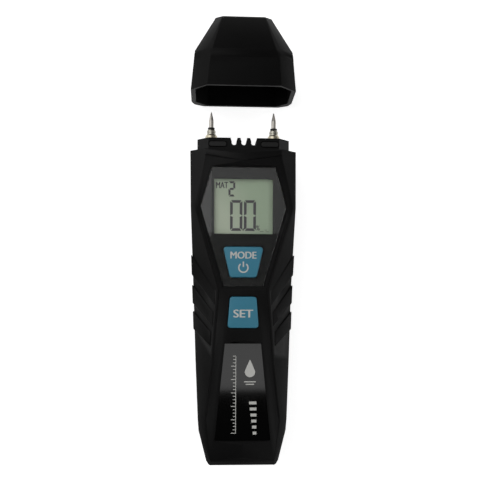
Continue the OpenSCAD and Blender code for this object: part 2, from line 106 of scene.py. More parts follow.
def spot(x: float, y: float, z: float) -> Vector:
    """Frame position of a point given in millimetres from the bottom end.

    Args:
        x: Millimetres to the right of the middle.
        y: Millimetres from the bottom end towards the pins.
        z: Millimetres above the back.

    Returns:
        The point in the model's frame, in metres.
    """
    return Vector((x, y - BOTTOM_TO_MIDDLE, z)) * MM


# ---- node groups and finishes -------------------------------------------------


class Tree:
    """Short names for building a node tree."""

    def __init__(self, tree: bpy.types.NodeTree) -> None:
        """Keeps the tree and empties it."""
        self.tree = tree
        tree.nodes.clear()

    def add(self, kind: str, **settings: object) -> bpy.types.Node:
        """Adds a node.

        Args:
            kind: The node's type without its ShaderNode prefix.
            settings: Properties to set on the node.

        Returns:
            The new node.
        """
        full = kind if kind.startswith("NodeGroup") else "ShaderNode" + kind
        node = self.tree.nodes.new(full)
        for key, value in settings.items():
            setattr(node, key, value)
        return node

    def wire(self, source: Socket, target: Socket) -> None:
        """Links two sockets."""
        self.tree.links.new(source, target)

    def stretch(self, vector: Socket, scale: Sequence[float]) -> Socket:
        """Multiplies a vector, each axis by its own factor."""
        node = self.add("VectorMath", operation="MULTIPLY")
        self.wire(vector, node.inputs[0])
        node.inputs[1].default_value = scale
        return node.outputs[0]

    def noise(self, vector: Socket, scale: float, detail: float = 2.0) -> Socket:
        """Noise from 0 to 1 at a scale in features per metre."""
        node = self.add("TexNoise")
        self.wire(vector, node.inputs["Vector"])
        node.inputs["Scale"].default_value = scale
        node.inputs["Detail"].default_value = detail
        return node.outputs["Fac"]

    def math(self, how: str, first: Socket, second: object) -> Socket:
        """Applies a maths operation to a socket and a socket or number."""
        node = self.add("Math", operation=how)
        self.wire(first, node.inputs[0])
        if isinstance(second, (int, float)):
            node.inputs[1].default_value = second
        else:
            self.wire(second, node.inputs[1])
        return node.outputs[0]

    def span(self, value: Socket, source: Point, target: Point) -> Socket:
        """Maps a value from one range to another, clamped."""
        node = self.add("MapRange", clamp=True)
        self.wire(value, node.inputs["Value"])
        for name, number in zip(("From Min", "From Max", "To Min", "To Max"), (*source, *target)):
            node.inputs[name].default_value = number
        return node.outputs["Result"]

    def blend(self, mask: Socket, low: Colour, high: Colour) -> Socket:
        """Colour between low and high by a mask."""
        node = self.add("Mix", data_type="RGBA")
        self.wire(mask, node.inputs[0])
        node.inputs[6].default_value = (*low, 1)
        node.inputs[7].default_value = (*high, 1)
        return node.outputs[2]


class Surface(Enum):
    """Surface effects, each made once as a shared node group."""

    GRAIN = "spark_grain"
    TURNED = "turned_rings"
    BRUSHED = "brushed_strokes"
    TRACKS = "board_tracks"
    SHADED_CELLS = "display_cells_painted_shade"
    JACKET = "cell_jacket_bands"
    POLISH = "polished_haze"


def grain_effect(tree: Tree, place: Socket) -> Marks:
    """Fine spark-eroded grain with a soft broad unevenness."""
    fine = tree.noise(place, 3600, 3)
    broad = tree.noise(place, 55, 2)
    return fine, tree.math("ADD", tree.math("MULTIPLY", broad, 0.6), tree.math("MULTIPLY", fine, 0.4))


def turned_effect(tree: Tree, place: Socket) -> Marks:
    """Fine rings left by a lathe on a piece that lies along Y."""
    rings = tree.noise(tree.stretch(place, (0.04, 1, 0.04)), 9000, 1)
    stain = tree.noise(place, 700, 2)
    return rings, tree.math("ADD", tree.math("MULTIPLY", rings, 0.5), tree.math("MULTIPLY", stain, 0.5))


def brushed_effect(tree: Tree, place: Socket) -> Marks:
    """Short strokes along X."""
    strokes = tree.noise(tree.stretch(place, (0.05, 1, 1)), 7000, 2)
    stain = tree.noise(place, 300, 2)
    return strokes, tree.math("ADD", tree.math("MULTIPLY", strokes, 0.5), tree.math("MULTIPLY", stain, 0.5))


def tracks_effect(tree: Tree, place: Socket) -> Marks:
    """Raised copper tracks and pads under solder mask."""
    brick = tree.add("TexBrick")
    tree.wire(place, brick.inputs["Vector"])
    brick.inputs["Scale"].default_value = 260
    brick.inputs["Mortar Size"].default_value = 0.035
    pads = tree.add("TexVoronoi")
    tree.wire(place, pads.inputs["Vector"])
    pads.inputs["Scale"].default_value = 420
    dots = tree.math("LESS_THAN", pads.outputs["Distance"], 0.2)
    both = tree.math("MAXIMUM", brick.outputs["Fac"], dots)
    return both, both


def shaded_cells_effect(tree: Tree, place: Socket) -> Marks:
    """Display surface with painted shade, darker towards the right and towards the pin end, with a fine
    mottle.
    """
    axes = tree.add("SeparateXYZ")
    tree.wire(place, axes.inputs[0])
    sides, ends = (-0.013, 0.013), (0.003, 0.026)
    # Painted shade across and along the display: darker to the right and towards the pin end
    across = tree.span(axes.outputs["X"], sides, (1.0, 0.0))
    along = tree.span(axes.outputs["Y"], ends, (1.0, 0.55))
    fine = tree.noise(place, 2500, 2)
    shade = tree.math("MULTIPLY", tree.span(across, (0, 1), (0.15, 0.95)), along)
    return fine, tree.math("ADD", shade, tree.math("MULTIPLY", fine, 0.05))


def jacket_effect(tree: Tree, place: Socket) -> Marks:
    """Printed jacket of a cell: a wide dark band beside a bright one."""
    axes = tree.add("SeparateXYZ")
    tree.wire(place, axes.inputs[0])
    band_start = -0.062
    band = tree.math("GREATER_THAN", axes.outputs["Y"], band_start)
    fine = tree.noise(place, 900, 2)
    return fine, tree.math("MAXIMUM", band, tree.math("MULTIPLY", fine, 0.12))


def polish_effect(tree: Tree, place: Socket) -> Marks:
    """Polished surface with a faint haze of handling marks."""
    streaks = tree.noise(tree.stretch(place, (1, 0.12, 1)), 1500, 3)
    haze = tree.noise(place, 160, 2)
    return streaks, tree.math("MULTIPLY", haze, streaks)


EFFECTS: dict[Surface, Callable] = {
    Surface.GRAIN: grain_effect,
    Surface.TURNED: turned_effect,
    Surface.BRUSHED: brushed_effect,
    Surface.TRACKS: tracks_effect,
    Surface.SHADED_CELLS: shaded_cells_effect,
    Surface.JACKET: jacket_effect,
    Surface.POLISH: polish_effect,
}


def effect_group(kind: Surface) -> bpy.types.NodeTree:
    """The shared node group of a surface effect, made on first use.

    Args:
        kind: Which effect.

    Returns:
        A group with a Place input and Height and Mask outputs.
    """
    found = bpy.data.node_groups.get(kind.value)
    if found:
        return found
    group = bpy.data.node_groups.new(kind.value, "ShaderNodeTree")
    group.interface.new_socket("Place", in_out="INPUT", socket_type="NodeSocketVector")
    for name in ("Height", "Mask"):
        group.interface.new_socket(name, in_out="OUTPUT", socket_type="NodeSocketFloat")
    tree = Tree(group)
    start = tree.add("NodeGroupInput")
    end = tree.add("NodeGroupOutput")
    height, mask = EFFECTS[kind](tree, start.outputs["Place"])
    tree.wire(height, end.inputs["Height"])
    tree.wire(mask, end.inputs["Mask"])
    return group


def named_material(name: str, fill: Callable[[Tree], Socket]) -> bpy.types.Material:
    """The material of a name, made on first use.

    A material that already has the name is taken as it is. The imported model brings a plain
    one for each slot, so the ten finishes named like a slot show that plain one.

    Args:
        name: Name of the material.
        fill: Builds the shader in an empty tree and gives back its output.

    Returns:
        The material.
    """
    made = bpy.data.materials.get(name)
    if not made:
        made = bpy.data.materials.new(name)
        made.use_nodes = True
        tree = Tree(made.node_tree)
        tree.wire(fill(tree), tree.add("OutputMaterial").inputs["Surface"])
    return made


@dataclass(frozen=True)
class Finish:
    """A solid finish: two colours and two roughnesses mixed by a surface effect."""

    name: str
    surface: Surface
    low: Colour
    high: Colour
    roughness: Point = (0.4, 0.5)
    relief: float = 0.02
    metallic: float = 0.0
    specular: float = 0.5
    coat: float = 0.0
    coat_roughness: float = 0.05

    def material(self) -> bpy.types.Material:
        """The material that goes by the finish's name."""
        return named_material(self.name, self.shader)

    def shader(self, tree: Tree) -> Socket:
        """The Principled shader with the effect wired into it."""
        shader = tree.add("BsdfPrincipled")
        place = tree.add("TexCoord").outputs["Object"]
        effect = tree.add("Group", node_tree=effect_group(self.surface))
        tree.wire(place, effect.inputs["Place"])
        mask = tree.span(effect.outputs["Mask"], (0.3, 0.7), (0, 1))
        tree.wire(tree.blend(mask, self.low, self.high), shader.inputs["Base Color"])
        tree.wire(tree.span(mask, (0, 1), self.roughness), shader.inputs["Roughness"])
        bump = tree.add("Bump")
        bump.inputs["Strength"].default_value = 1.0
        bump.inputs["Distance"].default_value = self.relief * MM
        tree.wire(effect.outputs["Height"], bump.inputs["Height"])
        tree.wire(bump.outputs["Normal"], shader.inputs["Normal"])
        shader.inputs["Metallic"].default_value = self.metallic
        shader.inputs["Specular IOR Level"].default_value = self.specular
        shader.inputs["Coat Weight"].default_value = self.coat
        shader.inputs["Coat Roughness"].default_value = self.coat_roughness
        return shader.outputs["BSDF"]


@dataclass(frozen=True)
class ClearFinish:
    """A clear glossy window that lets the lamps reach what lies under it."""

    name: str
    tint: Colour
    index: float = 1.5

    def material(self) -> bpy.types.Material:
        """The material that goes by the window's name."""
        return named_material(self.name, self.shader)

    def shader(self, tree: Tree) -> Socket:
        """Clear glass for the eye, a plain tint for the lamps."""
        shader = tree.add("BsdfPrincipled")
        effect = tree.add("Group", node_tree=effect_group(Surface.POLISH))
        tree.wire(tree.add("TexCoord").outputs["Object"], effect.inputs["Place"])
        tree.wire(tree.span(effect.outputs["Mask"], (0.1, 0.6), (0.0, 0.05)), shader.inputs["Roughness"])
        shader.inputs["Base Color"].default_value = (*self.tint, 1)
        shader.inputs["Transmission Weight"].default_value = 1.0
        shader.inputs["IOR"].default_value = self.index
        clear = tree.add("BsdfTransparent")
        clear.inputs["Color"].default_value = (*self.tint, 1)
        mixed = tree.add("MixShader")
        tree.wire(tree.add("LightPath").outputs["Is Shadow Ray"], mixed.inputs[0])
        tree.wire(shader.outputs["BSDF"], mixed.inputs[1])
        tree.wire(clear.outputs["BSDF"], mixed.inputs[2])
        return mixed.outputs["Shader"]


HOUSING = Finish(
    "housing_black", Surface.GRAIN, (0.0022, 0.0022, 0.0023), grey(0.0034),
    roughness=(0.40, 0.48), relief=0.008, specular=0.14)
CAP_BLACK = Finish(
    "cap_black", Surface.GRAIN, grey(0.0026), grey(0.0036),
    roughness=(0.40, 0.48), relief=0.006, specular=0.075)
CARRIER = Finish("carrier_grey", Surface.GRAIN, (0.045, 0.045, 0.047), grey(0.07), relief=0.01)
WINDOW = ClearFinish("window_clear", (0.97, 0.98, 0.97))
MASK = Finish(
    "mask_print", Surface.POLISH, grey(0.0001), grey(0.0003),
    roughness=(0.6, 0.7), relief=0.0005, specular=0.0)
# Painted shade: a near-black, dull copy of the housing plastic for the bands round the catches, where a
# groove's shade would fall
GROOVE_SHADE = Finish(
    "groove_painted_shade", Surface.GRAIN, grey(0.0004), grey(0.0008),
    roughness=(0.7, 0.8), relief=0.002, specular=0.02)
# Painted highlight: a lighter, glossier copy of the housing plastic for the raised catches
CATCH_HIGHLIGHT = Finish(
    "catch_painted_highlight", Surface.GRAIN, grey(0.007), grey(0.01),
    roughness=(0.36, 0.44), relief=0.006, specular=0.3)
# The display's own grey-green; its surface effect adds painted shade
DISPLAY = Finish(
    "display_green_grey", Surface.SHADED_CELLS, srgb(154, 169, 147), srgb(178, 186, 168),
    roughness=(0.45, 0.55), relief=0.002, specular=0.1)
SEGMENT = Finish(
    "segment_ink", Surface.GRAIN, srgb(72, 69, 74), srgb(78, 75, 80),
    roughness=(0.5, 0.6), relief=0.0, specular=0.1)
FAINT_SEGMENT = Finish(
    "faint_segment_ink", Surface.GRAIN, srgb(84, 88, 84), srgb(89, 93, 88),
    roughness=(0.5, 0.6), relief=0.0, specular=0.1)
WHITE_PLASTIC = Finish("white_plastic", Surface.GRAIN, (0.6, 0.6, 0.57), (0.7, 0.7, 0.67), relief=0.01)
CONTACT = Finish(
    "contact_rubber", Surface.BRUSHED, (0.45, 0.1, 0.16), (0.07, 0.06, 0.06),
    roughness=(0.6, 0.75), relief=0.03)
BLUE = Finish(
    "button_blue", Surface.GRAIN, srgb(38, 204, 246), srgb(44, 209, 250),
    roughness=(0.42, 0.5), relief=0.006, specular=0.35)
LEGEND = Finish(
    "legend_ink", Surface.GRAIN, srgb(205, 205, 200), srgb(215, 215, 210),
    roughness=(0.45, 0.55), relief=0.002)
GREY_RUBBER = Finish(
    "pad_rubber_grey", Surface.GRAIN, grey(0.35), grey(0.42),
    roughness=(0.6, 0.7), relief=0.01)
BLACK_RUBBER = Finish(
    "ring_rubber_black", Surface.GRAIN, grey(0.008), grey(0.014),
    roughness=(0.55, 0.7), relief=0.01)
PLATE = Finish(
    "plate_gloss_black", Surface.POLISH, grey(0.0015), grey(0.003),
    roughness=(0.06, 0.12), relief=0.0005, specular=0.5)
STEEL = Finish(
    "needle_steel", Surface.TURNED, (0.31, 0.3, 0.265), (0.45, 0.44, 0.39),
    roughness=(0.22, 0.4), relief=0.004, metallic=1.0)
COLLAR = Finish(
    "collar_nickel", Surface.TURNED, (0.34, 0.33, 0.28), (0.5, 0.48, 0.41),
    roughness=(0.25, 0.42), relief=0.006, metallic=1.0)
BRASS = Finish(
    "base_brass", Surface.TURNED, (0.4, 0.36, 0.26), (0.58, 0.53, 0.4),
    roughness=(0.28, 0.45), relief=0.006, metallic=1.0)
SPRING = Finish(
    "spring_metal", Surface.BRUSHED, grey(0.5), grey(0.7),
    roughness=(0.25, 0.4), relief=0.003, metallic=1.0)
BRIGHT = Finish(
    "bright_metal", Surface.BRUSHED, (0.52, 0.52, 0.53), grey(0.72),
    roughness=(0.22, 0.42), relief=0.004, metallic=1.0)
BOARD = Finish(
    "board_green", Surface.TRACKS, (0.01, 0.09, 0.03), (0.03, 0.2, 0.07),
    roughness=(0.35, 0.25), relief=0.03, coat=0.3)
COMPONENT = Finish(
    "component_black", Surface.GRAIN, (0.012, 0.012, 0.013), grey(0.03),
    roughness=(0.5, 0.65), relief=0.01)
JACKET = Finish(
    "cell_jacket", Surface.JACKET, grey(0.02), (0.55, 0.33, 0.1),
    roughness=(0.35, 0.25), relief=0.002, metallic=0.4, coat=0.4)

# ---- mesh helpers ---------------------------------------------------------------


def finished(bm: bmesh.types.BMesh, name: str, smooth: float = 30.0) -> bpy.types.Object:
    """Turns a bmesh into an object at the origin.

    Args:
        bm: The mesh, which is freed.
        name: Name of the piece.
        smooth: Edges sharper than this many degrees stay sharp.

    Returns:
        The new object, linked to the scene.
    """
    mesh = bpy.data.meshes.new(name)
    bm.to_mesh(mesh)
    bm.free()
    mesh.shade_smooth()
    mesh.set_sharp_from_angle(angle=math.radians(smooth))
    made = bpy.data.objects.new(name, mesh)
    bpy.context.scene.collection.objects.link(made)
    return made


def merged_copy(node: bpy.types.Object, flat: float = 0.5) -> bmesh.types.BMesh:
    """A copy of a solid's mesh with its corners joined and its flat faces whole.

    Args:
        node: The solid's object.
        flat: Neighbouring faces within this many degrees become one.

    Returns:
        A new bmesh in the model's frame.
    """
    bm = bmesh.new()
    bm.from_mesh(node.data)
    bmesh.ops.remove_doubles(bm, verts=bm.verts, dist=MERGE)
    bmesh.ops.dissolve_limit(bm, angle_limit=math.radians(flat), verts=bm.verts, edges=bm.edges)
    return bm


def soften(bm: bmesh.types.BMesh, width: float, sharp: float, shortest: float,
           where: Callable[[Vector], bool], segments: int = 2) -> None:
    """Rounds the long outer edges of a solid.

    Args:
        bm: The mesh to change.
        width: Width of the rounding, in millimetres.
        sharp: Only edges sharper than this many degrees are rounded.
        shortest: Only edges at least this long are rounded, in millimetres.
        where: Says of an edge's middle whether it belongs.
        segments: Steps in the rounding.
    """
    edges = [e for e in bm.edges
             if len(e.link_faces) == 2 and e.is_convex
             and e.calc_face_angle(0.0) > math.radians(sharp)
             and e.calc_length() > shortest * MM
             and where((e.verts[0].co + e.verts[1].co) / 2)]
    bmesh.ops.bevel(bm, geom=edges, offset=width * MM, offset_type="OFFSET", segments=segments,
                    profile=0.5, affect="EDGES", clamp_overlap=False, material=-1, loop_slide=True)


def thicken(bm: bmesh.types.BMesh, faces: list[bmesh.types.BMFace], height: float) -> None:
    """Extrudes faces upwards by a height in millimetres."""
    grown = bmesh.ops.extrude_face_region(bm, geom=faces, use_keep_orig=True)
    top = [v for v in grown["geom"] if isinstance(v, bmesh.types.BMVert)]
    bmesh.ops.translate(bm, verts=top, vec=(0, 0, height * MM))


def plate(bm: bmesh.types.BMesh, outline: Sequence[Point], low: float, high: float) -> None:
    """Adds a flat prism with its outline in millimetres from the bottom end.

    Args:
        bm: The mesh to add to.
        outline: Corners, anticlockwise seen from the front.
        low: Height of its underside, in millimetres.
        high: Height of its top, in millimetres.
    """
    base = bm.faces.new([bm.verts.new(spot(x, y, low)) for x, y in outline])
    thicken(bm, [base], high - low)
    base.normal_flip()


def ring_band(centre: Point, radius: float, width: float, start: float, sweep: float,
              steps: int = 28) -> list[Point]:
    """Outline of a part of a flat ring.

    Args:
        centre: Middle of the ring, in millimetres.
        radius: Radius of the band's middle line.
        width: Width of the band.
        start: Angle where it starts, in degrees.
        sweep: Angle that it covers, in degrees.
        steps: Number of straight steps along it.

    Returns:
        The closed outline, anticlockwise.
    """
    def along(r: float, turns: Iterable[int]) -> list[Point]:
        """Points at one radius, at the given steps of the sweep."""
        angles = [math.radians(start + sweep * i / steps) for i in turns]
        return [(centre[0] + r * math.cos(a), centre[1] + r * math.sin(a)) for a in angles]

    outer = along(radius + width / 2, range(steps + 1))
    return outer + along(radius - width / 2, range(steps, -1, -1))


def lettered(name: str, words: str, centre: Point, size: Point, low: float, high: float,
             weight: float) -> bpy.types.Object:
    """A word as a thin raised print, fitted to a size.

    Args:
        name: Name of the piece.
        words: What it says.
        centre: Its middle, in millimetres from the bottom end.
        size: Width and height to fit, in millimetres.
        low: Height of its underside, in millimetres.
        high: Height of its top, in millimetres.
        weight: How far the strokes are widened to each side, in millimetres.

    Returns:
        The print as a mesh object.
    """
    curve = bpy.data.curves.new(name + "_curve", "FONT")
    curve.body = words
    curve.resolution_u = 5
    carrier = bpy.data.objects.new(name + "_curve", curve)
    bpy.context.scene.collection.objects.link(carrier)
    bpy.context.view_layer.update()
    flat = bpy.data.meshes.new_from_object(carrier)
    bm = bmesh.new()
    bm.from_mesh(flat)
    bpy.data.objects.remove(carrier)
    bpy.data.curves.remove(curve)
    bpy.data.meshes.remove(flat)
    bmesh.ops.remove_doubles(bm, verts=bm.verts, dist=LETTER_MERGE)
    lo = Vector([min(v.co[k] for v in bm.verts) for k in range(3)])
    hi = Vector([max(v.co[k] for v in bm.verts) for k in range(3)])
    bmesh.ops.translate(bm, verts=bm.verts, vec=-(lo + hi) / 2)
    fit = (size[0] * MM / (hi.x - lo.x), size[1] * MM / (hi.y - lo.y), 1)
    bmesh.ops.scale(bm, verts=bm.verts, vec=fit)
    bmesh.ops.translate(bm, verts=bm.verts, vec=spot(*centre, low))
    thicken(bm, bm.faces[:], high - low)
    bmesh.ops.recalc_face_normals(bm, faces=bm.faces)
    # A second copy beside the first makes the strokes bolder, a hair lower so that they don't flicker
    step_up, step_down = 0.4, 0.004
    widened = bmesh.ops.duplicate(bm, geom=bm.verts[:] + bm.edges[:] + bm.faces[:])
    second = [v for v in widened["geom"] if isinstance(v, bmesh.types.BMVert)]
    bmesh.ops.translate(bm, verts=bm.verts[:], vec=(-weight * MM, 0, 0))
    bmesh.ops.translate(bm, verts=second, vec=(2 * weight * MM, step_up * weight * MM, -step_down * MM))
    return finished(bm, name)


def bar(x: float, y: float, wide: float, tall: float) -> list[Point]:
    """Outline of an upright rectangle from its bottom left corner, in millimetres."""
    return [(x, y), (x + wide, y), (x + wide, y + tall), (x, y + tall)]


def pill(centre: Point, half: Point, steps: int = 8) -> list[Point]:
    """Outline of a bar with round ends.

    Args:
        centre: Its middle, in millimetres.
        half: Half its length across and half its width.
        steps: Steps round each quarter turn.

    Returns:
        The closed outline, anticlockwise.
    """
    radius = half[1] * 0.9
    out = []
    for quarter, (sx, sy) in enumerate(((1, 1), (-1, 1), (-1, -1), (1, -1))):
        cx, cy = centre[0] + sx * (half[0] - radius), centre[1] + sy * (half[1] - radius)
        turns = [math.radians(90 * quarter + 90 * i / steps) for i in range(steps + 1)]
        out += [(cx + radius * math.cos(a), cy + radius * math.sin(a)) for a in turns]
    return out


def ring_loop(outer: Sequence[Point], inner: Sequence[Point]) -> list[list[Point]]:
    """Cuts the band between two like outlines into four-cornered pieces."""
    count = len(outer)
    return [[inner[i], outer[i], outer[(i + 1) % count], inner[(i + 1) % count]] for i in range(count)]


def spun(profile: Iterable[Sequence[float]], centre: Sequence[float], axis: Sequence[float],
         steps: int) -> bmesh.types.BMesh:
    """A closed profile spun a full turn.

    Args:
        profile: Its corners, in metres.
        centre: A point on the axis.
        axis: Direction of the axis.
        steps: Facets round the turn.

    Returns:
        A new bmesh.
    """
    bm = bmesh.new()
    ring = [bm.verts.new(place) for place in profile]
    edges = [bm.edges.new(pair) for pair in zip(ring, ring[1:] + ring[:1])]
    bmesh.ops.spin(bm, geom=ring + edges, cent=centre, axis=axis, angle=2 * math.pi, steps=steps,
                   use_merge=True)
    bmesh.ops.remove_doubles(bm, verts=bm.verts, dist=MERGE)
    bmesh.ops.recalc_face_normals(bm, faces=bm.faces)
    return bm


class Workshop:
    """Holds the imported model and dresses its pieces."""

    def __init__(self, frame: dict) -> None:
        """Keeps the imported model's objects."""
        self.nodes: dict[str, bpy.types.Object] = frame["nodes"]

    def paint(self, finish: Finish | ClearFinish, *names: str) -> None:
        """Gives kept solids a finish."""
        for name in names:
            node = self.nodes[name]
            if not node.material_slots:
                node.data.materials.append(finish.material())
            for place in node.material_slots:
                place.material = finish.material()
            LOG.info("%s wears %s", name, finish.name)

    def mount(self, piece: bpy.types.Object, body: str, slot: str, finish: Finish | ClearFinish,
              *replaced: str) -> bpy.types.Object:
        """Dresses a new piece and makes it ride on a body.

        Args:
            piece: The new object.
            body: The body that it moves with.
            slot: Not used.
            finish: What it wears.
            replaced: Solids that it stands for.

        Returns:
            The piece.
        """
        piece.data.materials.clear()
        piece.data.materials.append(finish.material())
        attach(piece, body)
        if replaced:
            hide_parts(*replaced)
        LOG.info("%s rides on %s", piece.name, body)
        return piece


# ---- sub-assemblies --------------------------------------------------------------


@dataclass
class Assembly:
    """A group of pieces that is built and then dressed. Sizes are in millimetres."""

    shop: Workshop

    def build(self) -> None:
        """Makes new pieces; a group without any keeps its solids."""

    def dress(self) -> None:
        """Paints kept solids; a group without any paints nothing."""


@dataclass
class Shells(Assembly):
    """The two housing halves and the battery door."""

    edge: float = 0.22
    door_edge: float = 0.12
    sharp: float = 14.0
    shortest: float = 2.4
    neck_start: float = 141.0
    front_zone: float = 20.0
    back_zone: float = 6.0
    flank_zone: float = 14.0
    neck_face: float = 26.2
    catch_place: Point = (11.7, 144.2)
    catch_half: Point = (3.8, 1.0)
    catch_rise: Point = (0.1, 0.24)
    catch_edge: float = 0.06
    # Outlines and heights of the painted-shade ring round each catch
    groove_shade_outer: Point = (4.2, 1.4)
    groove_shade_inner: Point = (3.82, 1.02)
    groove_shade_span: Point = (-0.2, 0.01)

    def build(self) -> None:
        """Makes the shells with softened edges and the catches."""
        self.catches()
        for node, body, edge in (
            ("front_housing", "housing", self.edge),
            ("rear_housing", "housing", self.edge),
            ("battery_door", "battery_door", self.door_edge),
        ):
            bm = merged_copy(self.shop.nodes[node])
            soften(bm, edge, self.sharp, self.shortest, self.outside)
            self.shop.mount(finished(bm, node + "_shell", 25), body, "housing_plastic", HOUSING, node)

    def outside(self, middle: Vector) -> bool:
        """Whether an edge lies on the outside, clear of the neck's slots."""
        return middle.y < spot(0, self.neck_start, 0).y and (
            middle.z > self.front_zone * MM or middle.z < self.back_zone * MM
            or abs(middle.x) > self.flank_zone * MM)

    def catches(self) -> None:
        """Makes the two raised catches on the neck, each ringed by a thin dark band of painted shade for
        its groove.
        """
        x, y = self.catch_place
        face = self.neck_face
        for side, centre in (("left", (-x, y)), ("right", (x, y))):
            bm = bmesh.new()
            plate(bm, pill(centre, self.catch_half), face + self.catch_rise[0], face + self.catch_rise[1])
            piece = finished(bm, f"{side}_catch")
            rim = piece.modifiers.new("rounding", "BEVEL")
            rim.width, rim.segments = self.catch_edge * MM, 2
            # The catches wear a lighter copy of the housing plastic as painted highlight
            self.shop.mount(piece, "housing", "housing_plastic", CATCH_HIGHLIGHT)
            # The groove is a thin ring of painted shade standing just proud of the neck, not a cut
            bm = bmesh.new()
            for outline in ring_loop(pill(centre, self.groove_shade_outer), pill(centre, self.groove_shade_inner)):
                plate(bm, outline, face + self.groove_shade_span[0], face + self.groove_shade_span[1])
            bmesh.ops.remove_doubles(bm, verts=bm.verts, dist=MERGE)
            self.shop.mount(finished(bm, f"{side}_catch_groove_shade"), "housing", "housing_plastic", GROOVE_SHADE)

    def dress(self) -> None:
        """Paints what stays inside the shells."""
        self.shop.paint(CARRIER, "pin_carrier")


@dataclass
class Cap(Assembly):
    """The pulled-off pin cap."""

    edge: float = 0.25
    sharp: float = 21.0
    shortest: float = 4.5

    def build(self) -> None:
        """Makes the cap with softened edges."""
        bm = merged_copy(self.shop.nodes["cap"])
        soften(bm, self.edge, self.sharp, self.shortest, lambda middle: True)
        self.shop.mount(finished(bm, "pin_cap", 24), "cap", "cap_plastic", CAP_BLACK, "cap")


